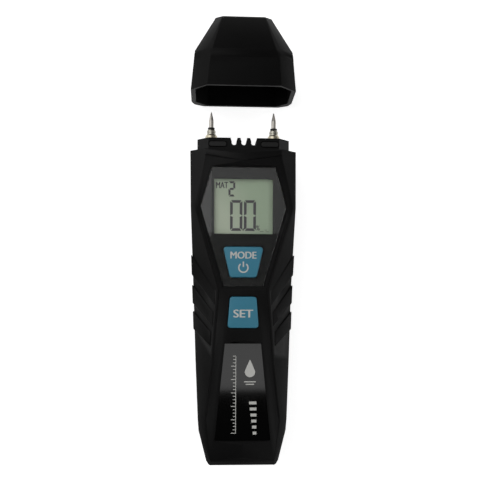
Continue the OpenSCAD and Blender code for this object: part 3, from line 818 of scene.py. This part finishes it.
@dataclass
class Display(Assembly):
    """The lens, its mask, the glass and what the glass shows.

    Places on the glass are shares of the window's width and height, from its top left.
    """

    left: float = -13.2
    bottom: float = 103.9
    width: float = 26.4
    height: float = 24.65
    lens_edge: float = 0.15
    stroke: float = 1.2
    small_stroke: float = 0.92
    gap: float = 0.07
    ink_sink: float = 0.02
    small_digit: tuple[Point, Point] = ((0.244, 0.312), (0.360, 0.033))
    large_digits: tuple[Point, Point] = ((0.274, 0.484), (0.511, 0.717))
    large_rows: Point = (0.940, 0.377)
    point_place: Point = (0.487, 0.94)
    mat_box: tuple[Point, Point] = ((0.034, 0.162), (0.235, 0.049))
    mat_weight: float = 0.09
    sign_box: tuple[Point, Point] = ((0.720, 0.93), (0.783, 0.838))
    sign_weight: float = 0.06

    @property
    def top(self) -> float:
        """Height of the glass, in millimetres."""
        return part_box("lcd_glass")[1].z / MM

    def window(self, across: float, down: float) -> Point:
        """A place in the window from shares of its width and height, from its top left."""
        return self.left + across * self.width, self.bottom + (1 - down) * self.height

    def ink(self, bm: bmesh.types.BMesh, outline: Sequence[Point]) -> None:
        """Adds a flat mark that stands just above the glass."""
        plate(bm, outline, self.top - self.ink_sink, self.top + INK_LIFT)

    def digit(self, bm: bmesh.types.BMesh, lit: str, corner: Point, far: Point, stroke: float) -> None:
        """Adds a seven-segment digit.

        Args:
            bm: The mesh to add to.
            lit: Letters of the lit segments, from a to g.
            corner: Bottom left corner, in millimetres.
            far: Top right corner, in millimetres.
            stroke: Width of a segment.
        """
        w, h = far[0] - corner[0], far[1] - corner[1]
        t, c, g = stroke, 0.34 * stroke, self.gap
        m = h / 2
        upright = [(0, g), (t, t * 0.55), (t, m - t - g), (0, m - c - g)]
        shapes = {
            "a": [(c, h), (t, h - t), (w - t, h - t), (w - c, h)],
            "b": [(w - x, m + y) for x, y in upright[::-1]],
            "c": [(w - x, m - y) for x, y in upright],
            "d": [(c, 0), (w - c, 0), (w - t, t), (t, t)],
            "e": [(x, m - y) for x, y in upright[::-1]],
            "f": [(x, m + y) for x, y in upright],
            "g": [(t * 0.55, m), (t + g, m - t / 2), (w - t - g, m - t / 2), (w - t * 0.55, m),
                  (w - t - g, m + t / 2), (t + g, m + t / 2)],
        }
        for letter in lit:
            self.ink(bm, [(corner[0] + x, corner[1] + y) for x, y in shapes[letter]])

    def build(self) -> None:
        """Makes the lens and the segments."""
        bm = merged_copy(self.shop.nodes["display_lens"])
        low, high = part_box("display_lens")
        under = [v for v in bm.verts if v.co.z < (low.z + high.z) / 2]
        bmesh.ops.translate(bm, verts=under, vec=(0, 0, INK_LIFT * MM))
        key_low, key_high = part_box("mode_button")
        face = high.z - 0.1 * MM

        def on_rim(middle: Vector) -> bool:
            """Whether an edge is on the lens's face, away from the key hole."""
            return middle.z > face and not (
                key_low.x < middle.x < key_high.x and key_low.y - MM < middle.y < key_high.y + MM)

        soften(bm, self.lens_edge, 40, 0.0, on_rim)
        self.shop.mount(finished(bm, "lens", 20), "housing", "lens_clear", WINDOW, "display_lens")
        self.segments()
        self.small_marks()

    def segments(self) -> None:
        """The reading: a small digit and two large ones with a point between."""
        bm = bmesh.new()
        self.digit(bm, "abged", *(self.window(*place) for place in self.small_digit), self.small_stroke)
        low, high = self.large_rows
        for first, last in self.large_digits:
            self.digit(bm, "abcdef", self.window(first, low), self.window(last, high), self.stroke)
        x, y = self.window(*self.point_place)
        self.ink(bm, [(x, y), (x + 0.5, y), (x + 0.6, y + 1.1), (x + 0.1, y + 1.1)])
        self.shop.mount(finished(bm, "reading_segments"), "housing", "mask_print", SEGMENT)

    def printed(self, name: str, words: str, box: tuple[Point, Point], weight: float) -> None:
        """Prints a small word on the glass.

        Args:
            name: Name of the piece.
            words: What it says.
            box: Its bottom left and top right places in the window.
            weight: How far its strokes are widened to each side.
        """
        (x0, y0), (x1, y1) = (self.window(*place) for place in box)
        word = lettered(name, words, ((x0 + x1) / 2, (y0 + y1) / 2), (x1 - x0, y1 - y0),
                        self.top - self.ink_sink, self.top + INK_LIFT, weight)
        self.shop.mount(word, "housing", "mask_print", SEGMENT)

    def small_marks(self) -> None:
        """The small word, the per cent sign and the faint status marks."""
        self.printed("mat_mark", "MAT", self.mat_box, self.mat_weight)
        self.printed("per_cent_mark", "%", self.sign_box, self.sign_weight)
        bm = bmesh.new()
        for across, down, wide, tall in (
            (0.79, 0.955, 0.7, 0.28),
            (0.825, 0.955, 0.6, 0.28),
            (0.87, 0.925, 1.0, 0.2),
            (0.885, 0.955, 1.6, 0.2),
        ):
            self.ink(bm, bar(*self.window(across, down), wide, tall))
        self.shop.mount(finished(bm, "status_marks"), "housing", "mask_print", FAINT_SEGMENT)

    def dress(self) -> None:
        """Paints the kept solids of the display."""
        self.shop.paint(MASK, "lens_mask")
        self.shop.paint(DISPLAY, "lcd_glass")
        self.shop.paint(WHITE_PLASTIC, "lcd_frame")
        self.shop.paint(CONTACT, "upper_contact_strip", "lower_contact_strip")


@dataclass
class Keys(Assembly):
    """The two blue buttons with their legends, and what they press."""

    round_edge: float = 0.45
    legend_depth: float = 0.12
    travel: float = 0.8
    mode_word: tuple[Point, Point, float] = ((0, 94.3), (11.5, 3.1), 0.13)
    set_word: tuple[Point, Point, float] = ((0, 68.2), (8.6, 3.5), 0.15)
    power_place: Point = (0, 88.7)
    power_radius: float = 2.05
    power_width: float = 0.62
    power_arc: Point = (128, 284)
    power_stroke: Point = (0.35, 2.75)

    def button(self, node: str) -> float:
        """Makes one button with a rounded rim.

        Args:
            node: Name of the button's solid.

        Returns:
            Height of its face, in millimetres.
        """
        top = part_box(node)[1].z
        bm = merged_copy(self.shop.nodes[node])
        face = max(bm.faces, key=lambda f: f.calc_center_median().z)
        rim = list(face.edges)
        bmesh.ops.translate(bm, verts=list(face.verts), vec=(0, 0, -INK_LIFT * MM))
        bmesh.ops.bevel(bm, geom=rim, offset=self.round_edge * MM, offset_type="OFFSET", segments=4,
                        profile=0.5, affect="EDGES", clamp_overlap=False, material=-1, loop_slide=True)
        self.shop.mount(finished(bm, node + "_key", 30), node, "button_blue", BLUE, node)
        return top / MM

    def power_mark(self, centre: Point, top: float) -> bpy.types.Object:
        """The open ring with a stroke that stands for power.

        Args:
            centre: Middle of the ring, in millimetres.
            top: Height of the button's face, in millimetres.

        Returns:
            The mark as a mesh object.
        """
        bm = bmesh.new()
        arc = ring_band(centre, self.power_radius, self.power_width, *self.power_arc)
        plate(bm, arc, top - self.legend_depth, top)
        x, y = centre
        low, high = self.power_stroke
        stroke = bar(x - self.power_width / 2, y + low, self.power_width, high - low)
        plate(bm, stroke, top - self.legend_depth, top)
        return finished(bm, "power_mark")

    def legend(self, name: str, words: str, node: str, print_of: tuple[Point, Point, float],
               top: float) -> None:
        """Prints a word on a button.

        Args:
            name: Name of the piece.
            words: What it says.
            node: The button's body.
            print_of: Its middle, its size and how far its strokes are widened.
            top: Height of the button's face, in millimetres.
        """
        centre, size, weight = print_of
        word = lettered(name, words, centre, size, top - self.legend_depth, top, weight)
        self.shop.mount(word, node, "white_plastic", LEGEND)

    def build(self) -> None:
        """Makes the buttons, their legends and the return pads."""
        top = self.button("mode_button")
        self.legend("mode_legend", "MODE", "mode_button", self.mode_word, top)
        self.shop.mount(self.power_mark(self.power_place, top), "mode_button", "white_plastic", LEGEND)
        top = self.button("set_button")
        self.legend("set_legend", "SET", "set_button", self.set_word, top)
        for key in ("mode", "set"):
            self.return_pad(key)

    def return_pad(self, key: str) -> None:
        """Makes a rubber return pad under its button and gives it a mesh of its own.

        Args:
            key: Which button, mode or set.
        """
        node = f"{key}_return_pad"
        low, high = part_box(node)
        tall = high.z - low.z
        middle = (low + high) / 2
        wide = (high.x - low.x) / 2
        # Shares of the radius and of the height, up the outside and down the hole
        shares = [(0.64, 0.0), (0.96, 0.0), (1, 0.14), (0.9, 0.3), (0.82, 0.85), (0.76, 1), (0.62, 1),
                  (0.62, 0.3)]
        bm = spun([(middle.x + wide * r, middle.y, low.z + tall * h) for r, h in shares],
                  (middle.x, middle.y, 0), (0, 0, 1), 40)
        piece = self.shop.mount(finished(bm, node + "_dome", 35), "housing", "pad_rubber", GREY_RUBBER,
                                node)
        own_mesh(piece)

    def dress(self) -> None:
        """Paints the switches under the buttons."""
        self.shop.paint(COMPONENT, "mode_switch", "set_switch")


@dataclass
class NamePlate(Assembly):
    """The glossy plate on the front with a plain drop and a scale."""

    scale_x: float = -3.25
    scale_y: float = 14.5
    scale_long: float = 34.5
    line: float = 0.25
    ticks: int = 24
    pitch: float = 1.5
    long_tick: float = 2.0
    short_tick: float = 1.1
    tick: float = 0.3
    steps: int = 6
    step_y: float = 14.0
    step_pitch: float = 2.7
    step_left: float = 4.6
    step_right: float = 6.2
    step_grow: float = 0.35
    step_tall: float = 1.3
    drop: Point = (3.2, 42.0)
    drop_r: float = 2.3
    drop_arc: Point = (152, 236)
    drop_facets: int = 26
    drop_tip: float = 0.12
    drop_tall: float = 2.35
    ripple: float = 0.45
    print_depth: float = 0.03

    def build(self) -> None:
        """Makes the plate's print."""
        self.scale()
        self.water_drop()

    def ink(self, bm: bmesh.types.BMesh, outline: Sequence[Point]) -> None:
        """Adds a flat mark to the plate's print."""
        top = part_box("name_plate")[1].z / MM
        plate(bm, outline, top - self.print_depth, top + self.print_depth)

    def scale(self) -> None:
        """Makes the ruled scale and the growing bars beside it."""
        bm = bmesh.new()
        self.ink(bm, bar(self.scale_x, self.scale_y, self.line, self.scale_long))
        for step in range(self.ticks):
            wide = self.long_tick if step % 4 == 0 else self.short_tick
            self.ink(bm, bar(self.scale_x - wide, self.scale_y + self.pitch * step, wide, self.tick))
        for step in range(self.steps):
            x = self.step_left - self.step_grow * step
            y = self.step_y + self.step_pitch * step
            self.ink(bm, bar(x, y, self.step_right - x, self.step_tall))
        self.shop.mount(finished(bm, "plate_scale"), "housing", "white_plastic", LEGEND)

    def water_drop(self) -> None:
        """Makes the drop with two ripples under it."""
        bm = bmesh.new()
        x, y = self.drop
        r = self.drop_r
        start, sweep = self.drop_arc
        turns = [math.radians(start + sweep * i / self.drop_facets) for i in range(self.drop_facets + 1)]
        outline = [(x + r * math.cos(a), y + r * math.sin(a)) for a in turns]
        tip = y + self.drop_tall * r
        self.ink(bm, [*outline, (x + self.drop_tip, tip), (x - self.drop_tip, tip)])
        for height, half in ((-4.6, 2.6), (-5.7, 1.9)):
            self.ink(bm, bar(x - half, y + height, 2 * half, self.ripple))
        self.shop.mount(finished(bm, "plate_drop"), "housing", "white_plastic", LEGEND)

    def dress(self) -> None:
        """Paints the plate."""
        self.shop.paint(PLATE, "name_plate")


@dataclass
class Pins(Assembly):
    """The two measuring pins with their collars, bases and rings."""

    steps: int = 48
    hole: float = 0.9
    stem: float = 2.2
    neck_end: float = 147.0

    def turned(self, name: str, x: float, profile: Sequence[Point]) -> bpy.types.Object:
        """Spins a closed profile round a pin's axis.

        Args:
            name: Name of the piece.
            x: Where the axis lies, in metres.
            profile: Points as (distance along in metres, radius in metres).

        Returns:
            The piece.
        """
        low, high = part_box("left_needle")
        z = (low.z + high.z) / 2
        bm = spun([(x + r, y, z) for y, r in profile], (x, 0, z), (0, 1, 0), self.steps)
        return finished(bm, name, 28)

    def build(self) -> None:
        """Makes the collars and bases round the needles."""
        for side in ("left", "right"):
            low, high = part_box(f"{side}_needle")
            x = (low.x + high.x) / 2
            self.collar(side, x)
            self.base(side, x)

    def collar(self, side: str, x: float) -> None:
        """Makes a collar with two turned grooves.

        Args:
            side: Which pin, left or right.
            x: Where its axis lies, in metres.
        """
        low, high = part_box(f"{side}_collar")
        r, hole, cut = (high.x - low.x) / 2, self.hole * MM, 0.16 * MM
        y = low.y
        outer = [(0.0, r - cut), (cut, r), (0.75 * MM, r), (0.85 * MM, r - cut), (1.05 * MM, r - cut),
                 (1.15 * MM, r), (1.9 * MM, r), (2.0 * MM, r - cut), (2.15 * MM, r - cut),
                 (high.y - low.y, r - 0.7 * MM)]
        profile = [(y + d, radius) for d, radius in outer] + [(high.y, hole), (low.y, hole)]
        collar = self.turned(f"{side}_collar_turned", x, profile)
        self.shop.mount(collar, "housing", "collar_metal", COLLAR, f"{side}_collar")

    def base(self, side: str, x: float) -> None:
        """Makes a base with a groove under its shoulder.

        Args:
            side: Which pin, left or right.
            x: Where its axis lies, in metres.
        """
        low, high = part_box(f"{side}_pin_base")
        r, hole, stem = (high.x - low.x) / 2, self.hole * MM, self.stem * MM
        neck = spot(0, self.neck_end, 0).y
        outer = [(low.y, 0.0), (low.y, stem), (neck, stem), (neck, r - 0.2 * MM), (neck + 0.2 * MM, r),
                 (neck + 1.5 * MM, r), (neck + 1.65 * MM, r - 0.22 * MM),
                 (neck + 1.95 * MM, r - 0.22 * MM), (neck + 2.1 * MM, r), (high.y - 0.5 * MM, r),
                 (high.y, r - 0.4 * MM), (high.y, hole), (neck - 3 * MM, hole), (neck - 3 * MM, 0.0)]
        base = self.turned(f"{side}_base_turned", x, outer)
        self.shop.mount(base, "housing", "base_brass", BRASS, f"{side}_pin_base")

    def dress(self) -> None:
        """Paints the needles, rings and straps."""
        self.shop.paint(STEEL, "left_needle", "right_needle")
        self.shop.paint(BLACK_RUBBER, "left_pin_ring", "right_pin_ring")
        self.shop.paint(BRASS, "left_pin_strap", "right_pin_strap")


@dataclass
class Works(Assembly):
    """The board, its components, the cells and the fixings, which keep their solids."""

    def dress(self) -> None:
        """Paints everything inside."""
        self.shop.paint(BOARD, "main_board")
        self.shop.paint(COMPONENT, "controller_chip", "signal_amplifier", "chip_resistors", "beeper",
                        "temperature_sensor")
        self.shop.paint(BRIGHT, "crystal", "upper_cell_plate", "left_cell_plate", "right_cell_plate",
                        "housing_screws", "board_screws")
        self.shop.paint(SPRING, "left_cell_spring", "right_cell_spring")
        self.shop.paint(JACKET, "left_cell", "right_cell")


@dataclass
class Studio:
    """Floor, lights and camera."""

    aim: Vector
    distance: float = 0.300
    lean_left: float = 2.9
    lower: float = 0.021
    roll: float = 0.3
    lens: float = 48.1
    sensor: float = 36.0
    air: float = 0.12
    dim_air: float = 0.015
    skyline: float = 0.95
    floor_half: float = 6.0
    floor_drop: float = 0.0001
    floor_glow: float = 0.75

    def floor(self) -> None:
        """Lays a plain white floor."""
        bm = bmesh.new()
        bmesh.ops.create_grid(bm, x_segments=2, y_segments=2, size=self.floor_half)
        bmesh.ops.translate(bm, verts=bm.verts, vec=(0, 0, -self.floor_drop))
        floor = finished(bm, "floor")
        floor.data.materials.append(named_material("floor_white", self.floor_shader))

    def floor_shader(self, tree: Tree) -> Socket:
        """Matt white with a faint glow of its own."""
        shader = tree.add("BsdfPrincipled")
        mottle = tree.noise(tree.add("TexCoord").outputs["Object"], 6, 2)
        tree.wire(tree.blend(mottle, grey(0.86), grey(0.9)), shader.inputs["Base Color"])
        shader.inputs["Roughness"].default_value = 0.9
        shader.inputs["Specular IOR Level"].default_value = 0.0
        shader.inputs["Emission Color"].default_value = (1, 1, 1, 1)
        shader.inputs["Emission Strength"].default_value = self.floor_glow
        return shader.outputs["BSDF"]

    def lamp(self, name: str, place: Vector, size: Point, radiance: float, target: Vector) -> None:
        """Hangs a soft rectangular lamp.

        Args:
            name: Name of the lamp.
            place: Where its middle hangs.
            size: Its width and height, in metres.
            radiance: Brightness of its face.
            target: What it points at.
        """
        light = bpy.data.lights.new(name, "AREA")
        light.shape = "RECTANGLE"
        light.size, light.size_y = size
        light.energy = radiance * math.pi * size[0] * size[1]
        hung = bpy.data.objects.new(name, light)
        hung.location = place
        hung.rotation_euler = (target - place).to_track_quat("-Z", "Y").to_euler()
        bpy.context.scene.collection.objects.link(hung)

    def lights(self) -> None:
        """Lights the meter softly from above and from the upper left."""
        world = bpy.data.worlds.new("studio_air")
        world.use_nodes = True
        tree = Tree(world.node_tree)
        axes = tree.add("SeparateXYZ")
        tree.wire(tree.add("TexCoord").outputs["Generated"], axes.inputs[0])
        air = tree.add("Background")
        air.inputs["Color"].default_value = (1, 1, 1, 1)
        above = tree.span(axes.outputs["Z"], (0.84, 0.955), (self.air, self.dim_air))
        skyline = tree.span(axes.outputs["Z"], (0.12, 0.28), (self.skyline - self.air, 0.0))
        tree.wire(tree.math("ADD", above, skyline), air.inputs["Strength"])
        tree.wire(air.outputs["Background"], tree.add("OutputWorld").inputs["Surface"])
        bpy.context.scene.world = world
        down = Vector((0, 0, -1))
        for name, place, size, radiance in (
            ("lens_card", Vector((0.03, 0.21, 0.80)), (0.42, 0.29), 0.30),
            ("lens_card_left", Vector((-0.11, 0.20, 0.81)), (0.2, 0.28), 0.42),
            ("plate_card", Vector((0.03, -0.15, 0.80)), (0.24, 0.09), 1.4),
        ):
            self.lamp(name, place, size, radiance, place + down)
        self.lamp("key_lamp", Vector((-0.62, 0.42, 0.78)), (1.0, 1.0), 1.75, self.aim)
        self.lamp("fill_lamp", Vector((0.7, -0.35, 0.75)), (0.8, 0.8), 1.15, self.aim)

    def camera(self) -> None:
        """Places the camera above the meter, a little towards its lower left."""
        camera = bpy.data.cameras.new("camera")
        camera.lens = self.lens
        camera.sensor_width = self.sensor
        camera.shift_y = self.lower / self.distance * self.lens / self.sensor
        camera.clip_start = 0.01
        holder = bpy.data.objects.new("camera", camera)
        back = Vector((-math.tan(math.radians(self.lean_left)), 0, 1)).normalized()
        holder.location = self.aim + back * self.distance - Vector((0, self.lower, 0))
        right = Vector((0, 1, 0)).cross(back).normalized()
        look = Matrix((right, back.cross(right), back)).transposed()
        holder.rotation_euler = (look @ Matrix.Rotation(math.radians(self.roll), 3, "Z")).to_euler()
        bpy.context.scene.collection.objects.link(holder)
        bpy.context.scene.camera = holder

    def build(self) -> None:
        """Sets up the whole studio."""
        bpy.context.scene.view_settings.view_transform = "Standard"
        self.floor()
        self.lights()
        self.camera()


def main() -> None:
    """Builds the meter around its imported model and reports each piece."""
    logging.basicConfig(level=logging.INFO, format="%(name)s: %(message)s")
    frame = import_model()
    shop = Workshop(frame)
    Studio(aim=Vector((-0.0008, 0.0002, 0.014))).build()
    for kind in (Shells, Cap, Display, Keys, NamePlate, Pins, Works):
        assembly = kind(shop)
        assembly.build()
        assembly.dress()
        LOG.info("%s is done", kind.__name__)


if __name__ == "__main__":
    main()
